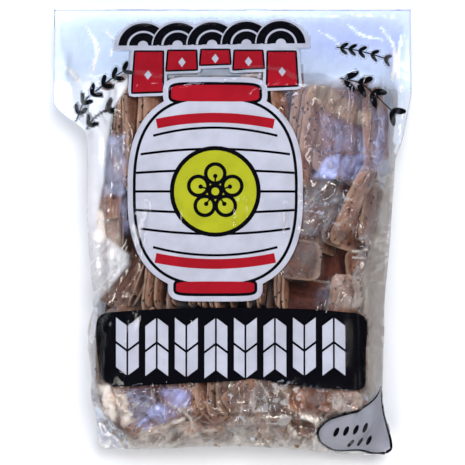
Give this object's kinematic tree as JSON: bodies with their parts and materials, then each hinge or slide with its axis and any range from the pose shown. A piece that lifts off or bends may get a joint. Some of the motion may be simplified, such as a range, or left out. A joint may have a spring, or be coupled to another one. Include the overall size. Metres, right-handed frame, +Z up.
{
  "type": "clear bag of rice crackers",
  "caption": "Clear sealed plastic bag filled with sesame rice crackers, lying on its back, with a sloping header, flat ears at the shoulders and plain printed fields on its front.",
  "frame": {"origin": "on the table, under the middle of the bag's bounding box", "axes": "+Y towards the bag's top seal, +Z up to the printed front, +X to the right as the front is read"},
  "size_m": [0.3, 0.374, 0.0815],
  "materials": {
    "filled_bag": "clear glossy film over tan crackers, seen as one colour",
    "clear_film": "thin clear polypropylene, glossy and crinkled, faintly blue",
    "white_ink": "opaque white ink under glossy film",
    "black_ink": "opaque blue-black ink under glossy film",
    "red_ink": "opaque red ink under glossy film",
    "yellow_ink": "opaque yellow-green ink under glossy film",
    "cracker": "toasted thin cracker, matt, browner along its edges",
    "sesame": "black sesame seed, satin"
  },
  "bodies": {
    "root": {"cracker_bag": "filled_bag"}
  },
  "joints": []
}
